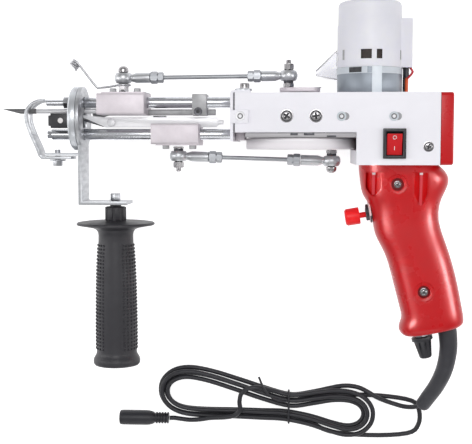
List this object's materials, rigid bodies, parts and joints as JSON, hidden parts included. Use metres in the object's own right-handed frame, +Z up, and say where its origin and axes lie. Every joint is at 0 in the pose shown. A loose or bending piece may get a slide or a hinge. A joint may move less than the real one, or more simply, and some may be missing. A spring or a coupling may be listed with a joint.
{
  "type": "handheld tufting machine",
  "caption": "Handheld electric tufting machine: pistol grip, side handle, geared crank that drives a hollow needle and scissor blades through adjustable tie rods, with its cord.",
  "frame": {"origin": "middle of the machine's bounding box at the table, measured without the free cord, the machine lying on the flat far side of its housing", "axes": "+X from the needle to the rear cap, +Y from the grip to the motor, +Z up off the table, towards the side with the rocker switch"},
  "size_m": [0.335, 0.3244, 0.0853],
  "materials": {
    "white_paint": "satin white powder coat",
    "red_plastic": "glossy moulded red",
    "bright_red": "glossy bright red",
    "steel": "zinc plated",
    "polished_steel": "polished",
    "aluminium": "machined, matt",
    "dark_steel": "blued",
    "can_steel": "rolled sheet",
    "black_plastic": "moulded black",
    "handle_rubber": "matt, textured",
    "nylon": "moulded natural nylon",
    "milky_plastic": "translucent milky moulding",
    "clear_plastic": "clear moulding",
    "cord_black": "semi-matt cable jacket",
    "orange_wire": "wire insulation"
  },
  "bodies": {
    "machine": {"housing_shell": "white_paint", "front_plate": "white_paint", "bottom_plate": "steel", "shaft_block": "aluminium", "lower_bearing": "steel", "upper_bearing": "steel", "rear_cap": "red_plastic", "upper_guide_shaft": "polished_steel", "lower_guide_shaft": "polished_steel", "front_disc": "aluminium", "handle_bracket": "steel", "presser_foot_bolt": "steel", "guide_block": "black_plastic", "side_handle": "handle_rubber", "side_handle_bolt": "steel", "clamp_collar": "steel", "cam_bar": "steel", "motor_can": "can_steel", "motor_cover": "milky_plastic", "air_deflector": "clear_plastic", "motor_lead_near": "cord_black", "motor_lead_far": "orange_wire", "grip_near_half": "red_plastic", "grip_far_half": "red_plastic", "trigger_switch": "dark_steel", "speed_control": "steel", "rocker_bezel": "black_plastic", "cord_sleeve": "cord_black", "cord_hank": "cord_black", "cord_lead": "cord_black", "dc_connector": "cord_black", "cord_tie": "cord_black"},
    "crank": {"crank_shaft": "steel", "crank_disc": "steel", "crank_arm": "steel", "drive_gear": "nylon"},
    "rotor": {"motor_shaft": "dark_steel"},
    "needle_carriage": {"needle_slider": "aluminium", "needle_slider_pin": "steel", "needle_bar": "polished_steel", "needle": "dark_steel", "yarn_guide": "polished_steel"},
    "upper_rod": {"upper_front_rod_end": "steel", "upper_tie_rod": "polished_steel", "upper_rear_rod_end": "steel", "upper_rear_pin": "steel"},
    "scissor_carriage": {"scissor_slider": "aluminium", "scissor_slider_pin": "steel", "fixed_blade": "polished_steel", "blade_pivot": "dark_steel"},
    "cutter": {"moving_blade": "dark_steel"},
    "lower_rod": {"lower_front_rod_end": "steel", "lower_tie_rod": "polished_steel", "lower_rear_rod_end": "steel", "lower_rear_pin": "steel"},
    "foot": {"presser_foot": "steel"},
    "trigger": {"trigger_button": "bright_red"},
    "knob": {"speed_knob": "black_plastic"},
    "power_rocker": {"rocker": "bright_red"}
  },
  "joints": [
    {"name": "crank_spin", "type": "hinge", "parent": "machine", "child": "crank", "pos_m": [0.05091, 0.07573, 0.041], "axis": [0, 1, 0], "continuous": true},
    {"name": "motor_spin", "type": "hinge", "parent": "machine", "child": "rotor", "pos_m": [0.09891, 0.07573, 0.041], "axis": [0, 1, 0], "continuous": true},
    {"name": "needle_slide", "type": "slide", "parent": "machine", "child": "needle_carriage", "axis": [1, 0, 0], "range_m": [0, 0.0186]},
    {"name": "scissor_slide", "type": "slide", "parent": "machine", "child": "scissor_carriage", "axis": [1, 0, 0], "range_m": [-0.0432, 0]},
    {"name": "upper_rod_swing", "type": "hinge", "parent": "needle_carriage", "child": "upper_rod", "pos_m": [-0.07719, 0.09333, 0.041], "axis": [0, 1, 0], "range_deg": [-4.5, 4.5]},
    {"name": "lower_rod_swing", "type": "hinge", "parent": "scissor_carriage", "child": "lower_rod", "pos_m": [-0.03749, 0.03733, 0.041], "axis": [0, 1, 0], "range_deg": [-11.4, 11.4]},
    {"name": "cutter_swing", "type": "hinge", "parent": "scissor_carriage", "child": "cutter", "pos_m": [-0.08609, 0.06133, 0.041], "axis": [0, 0, 1], "range_deg": [-4, 0]},
    {"name": "foot_adjust", "type": "slide", "parent": "machine", "child": "foot", "axis": [-1, 0, 0], "range_m": [0, 0.006]},
    {"name": "trigger_press", "type": "slide", "parent": "machine", "child": "trigger", "axis": [0.9869, 0.1616, 0], "range_m": [0, 0.0032], "stiffness_N_per_m": 300, "springref_m": -0.003},
    {"name": "knob_turn", "type": "hinge", "parent": "machine", "child": "knob", "pos_m": [0.13786, -0.09037, 0.041], "axis": [0.2079, -0.9781, 0], "range_deg": [0, 270]},
    {"name": "rocker_tilt", "type": "hinge", "parent": "machine", "child": "power_rocker", "pos_m": [0.11331, 0.04623, 0.0809], "axis": [1, 0, 0], "range_deg": [-20, 0]}
  ],
  "couplings": [
    {"joint": "motor_spin", "follows": "crank_spin", "ratio": -3},
    {"joint": "scissor_slide", "follows": "needle_slide", "ratio": -2.3225},
    {"joint": "lower_rod_swing", "follows": "upper_rod_swing", "ratio": -2.523}
  ]
}
